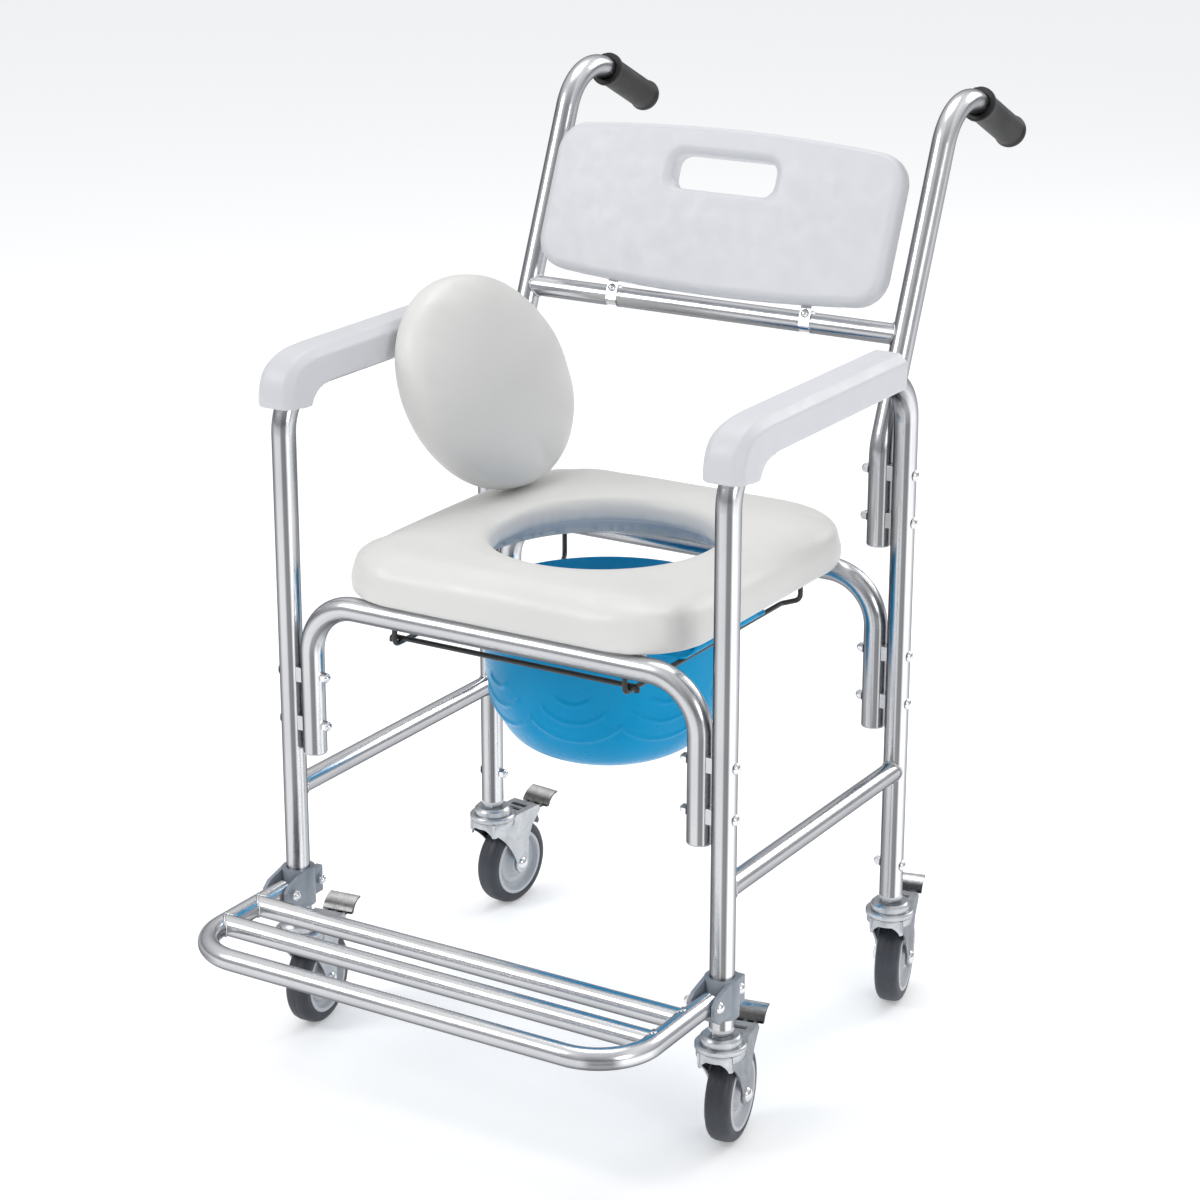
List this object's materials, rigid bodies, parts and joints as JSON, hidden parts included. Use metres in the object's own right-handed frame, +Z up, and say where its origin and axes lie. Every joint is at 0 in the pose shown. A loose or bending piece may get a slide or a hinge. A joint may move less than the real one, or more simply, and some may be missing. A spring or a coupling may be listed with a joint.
{
  "type": "wheeled commode chair",
  "caption": "Wheeled commode chair: bent aluminium tube frame, padded seat with a hole and loose lid, slide-out pan, flip-up footrest, push handles and braked swivel casters.",
  "frame": {"origin": "on the floor under the middle of the chair's bounding box", "axes": "+Z up; the sitter faces -Y; +X is the sitter's left"},
  "size_m": [0.5685, 0.8787, 0.9756],
  "materials": {
    "aluminium_tube": "polished and lightly brushed, clear anodised",
    "steel_fastener": "bright zinc plate",
    "zinc_steel": "bright zinc-plated pressing",
    "white_plastic": "moulded, fine satin grain",
    "seat_vinyl": "soft satin vinyl skin over foam",
    "black_rubber": "matt, fine grain",
    "tyre_rubber": "dark blue-grey solid rubber",
    "hub_plastic": "light grey moulded",
    "pan_plastic": "blue injection-moulded, glossy",
    "black_wire": "black coated wire",
    "cast_grey": "grey powder-coated casting",
    "board": "plain moulded board",
    "bush_plastic": "light grey moulded"
  },
  "bodies": {
    "frame": {"side_frame_left": "aluminium_tube", "side_frame_right": "aluminium_tube", "side_rail_left": "aluminium_tube", "side_rail_right": "aluminium_tube", "front_seat_tube": "aluminium_tube", "rear_seat_tube": "aluminium_tube", "back_tube_left": "aluminium_tube", "back_tube_right": "aluminium_tube", "back_crossbar": "aluminium_tube", "backrest_panel": "white_plastic", "backrest_straps": "steel_fastener", "backrest_clips": "steel_fastener", "backrest_screws": "steel_fastener", "armrest_pad_left": "white_plastic", "armrest_pad_right": "white_plastic", "handle_grip_left": "black_rubber", "handle_grip_right": "black_rubber", "frame_bolts": "steel_fastener", "frame_acorn_nuts": "steel_fastener", "frame_saddles": "aluminium_tube", "footrest_clamp_left": "cast_grey", "footrest_clamp_right": "cast_grey", "clamp_screws": "steel_fastener", "footrest_pivots": "steel_fastener", "tube_plugs": "bush_plastic", "leg_bushes": "bush_plastic", "stem_bolts": "steel_fastener", "pan_rack": "black_wire", "caster_stem_front_left": "zinc_steel", "caster_stem_front_right": "zinc_steel", "caster_stem_rear_left": "zinc_steel", "caster_stem_rear_right": "zinc_steel"},
    "seat": {"seat_cushion": "seat_vinyl", "seat_board": "board", "seat_clips": "bush_plastic"},
    "lid": {"lid_cushion": "seat_vinyl", "lid_board": "board"},
    "pan": {"pan": "pan_plastic"},
    "footrest": {"footrest_frame": "aluminium_tube", "footrest_bars": "aluminium_tube"},
    "swivel_front_left": {"caster_fork_front_left": "zinc_steel", "caster_axle_front_left": "steel_fastener"},
    "wheel_front_left": {"caster_tyre_front_left": "tyre_rubber", "caster_hub_front_left": "hub_plastic"},
    "brake_front_left": {"caster_brake_front_left": "zinc_steel"},
    "swivel_front_right": {"caster_fork_front_right": "zinc_steel", "caster_axle_front_right": "steel_fastener"},
    "wheel_front_right": {"caster_tyre_front_right": "tyre_rubber", "caster_hub_front_right": "hub_plastic"},
    "brake_front_right": {"caster_brake_front_right": "zinc_steel"},
    "swivel_rear_left": {"caster_fork_rear_left": "zinc_steel", "caster_axle_rear_left": "steel_fastener"},
    "wheel_rear_left": {"caster_tyre_rear_left": "tyre_rubber", "caster_hub_rear_left": "hub_plastic"},
    "brake_rear_left": {"caster_brake_rear_left": "zinc_steel"},
    "swivel_rear_right": {"caster_fork_rear_right": "zinc_steel", "caster_axle_rear_right": "steel_fastener"},
    "wheel_rear_right": {"caster_tyre_rear_right": "tyre_rubber", "caster_hub_rear_right": "hub_plastic"},
    "brake_rear_right": {"caster_brake_rear_right": "zinc_steel"}
  },
  "joints": [
    {"name": "footrest_flip", "type": "hinge", "parent": "frame", "child": "footrest", "pos_m": [0, -0.26738, 0.173], "axis": [-1, 0, 0], "range_deg": [0, 90]},
    {"name": "pan_slide", "type": "slide", "parent": "frame", "child": "pan", "axis": [0, 1, 0], "range_m": [0, 0.33]},
    {"name": "seat_lift", "type": "slide", "parent": "frame", "child": "seat", "axis": [0, 0, 1], "range_m": [0, 0.15]},
    {"name": "lid_lift", "type": "slide", "parent": "seat", "child": "lid", "axis": [0, 0, 1], "range_m": [0, 0.12]},
    {"name": "swivel_front_left_turn", "type": "hinge", "parent": "frame", "child": "swivel_front_left", "pos_m": [0.2565, -0.23638, 0.12], "axis": [0, 0, 1], "continuous": true},
    {"name": "wheel_front_left_roll", "type": "hinge", "parent": "swivel_front_left", "child": "wheel_front_left", "pos_m": [0.25067, -0.20491, 0.05], "axis": [0.9833, 0.1822, 0], "continuous": true},
    {"name": "brake_front_left_press", "type": "hinge", "parent": "swivel_front_left", "child": "brake_front_left", "pos_m": [0.24593, -0.17935, 0.107], "axis": [-0.9833, -0.1822, 0], "range_deg": [0, 6]},
    {"name": "swivel_front_right_turn", "type": "hinge", "parent": "frame", "child": "swivel_front_right", "pos_m": [-0.2565, -0.23638, 0.12], "axis": [0, 0, 1], "continuous": true},
    {"name": "wheel_front_right_roll", "type": "hinge", "parent": "swivel_front_right", "child": "wheel_front_right", "pos_m": [-0.26012, -0.20458, 0.05], "axis": [0.9936, 0.1132, 0], "continuous": true},
    {"name": "brake_front_right_press", "type": "hinge", "parent": "swivel_front_right", "child": "brake_front_right", "pos_m": [-0.26307, -0.17875, 0.107], "axis": [-0.9936, -0.1132, 0], "range_deg": [0, 6]},
    {"name": "swivel_rear_left_turn", "type": "hinge", "parent": "frame", "child": "swivel_rear_left", "pos_m": [0.2565, 0.13562, 0.12], "axis": [0, 0, 1], "continuous": true},
    {"name": "wheel_rear_left_roll", "type": "hinge", "parent": "swivel_rear_left", "child": "wheel_rear_left", "pos_m": [0.24876, 0.16667, 0.05], "axis": [0.9703, 0.2419, 0], "continuous": true},
    {"name": "brake_rear_left_press", "type": "hinge", "parent": "swivel_rear_left", "child": "brake_rear_left", "pos_m": [0.24247, 0.1919, 0.107], "axis": [-0.9703, -0.2419, 0], "range_deg": [0, 6]},
    {"name": "swivel_rear_right_turn", "type": "hinge", "parent": "frame", "child": "swivel_rear_right", "pos_m": [-0.2565, 0.13562, 0.12], "axis": [0, 0, 1], "continuous": true},
    {"name": "wheel_rear_right_roll", "type": "hinge", "parent": "swivel_rear_right", "child": "wheel_rear_right", "pos_m": [-0.25316, 0.16745, 0.05], "axis": [0.9945, -0.1045, 0], "continuous": true},
    {"name": "brake_rear_right_press", "type": "hinge", "parent": "swivel_rear_right", "child": "brake_rear_right", "pos_m": [-0.25044, 0.19331, 0.107], "axis": [-0.9945, 0.1045, 0], "range_deg": [0, 6]}
  ]
}
